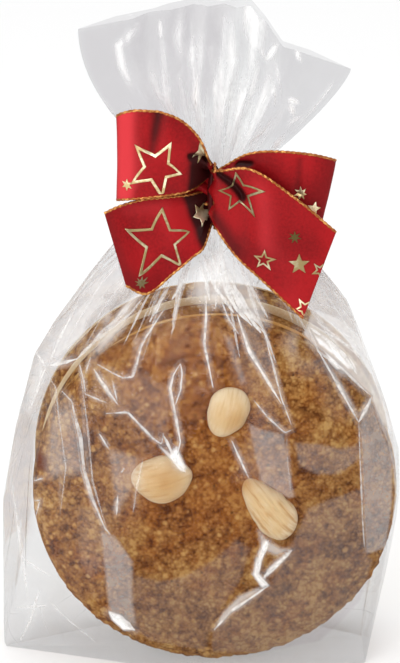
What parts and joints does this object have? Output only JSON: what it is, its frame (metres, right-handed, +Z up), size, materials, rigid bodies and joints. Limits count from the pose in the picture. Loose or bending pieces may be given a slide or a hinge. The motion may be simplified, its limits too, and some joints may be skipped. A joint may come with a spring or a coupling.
{
  "type": "bag of almond lebkuchen",
  "caption": "Clear film gift bag, standing upright round a stack of large round lebkuchen with whole almonds on top, gathered at the neck and tied with a red satin ribbon bow.",
  "frame": {"origin": "middle of the bag's flat bottom, under the middle of the biscuit stack", "axes": "+Z up from the bottom to the open mouth, -Y towards the shown front biscuit, +X to the right seen from the front"},
  "size_m": [0.1209, 0.0491, 0.2021],
  "materials": {
    "film": "clear glossy film",
    "ribbon": "red satin",
    "gold": "gold wire, gold edging and foil print",
    "lebkuchen": "baked nut dough, granular and matt",
    "wafer": "pale baking wafer",
    "almond": "blanched almond, half matt"
  },
  "bodies": {
    "root": {"bag": "film", "ribbon_bow": "ribbon", "tie": "gold"}
  },
  "joints": []
}
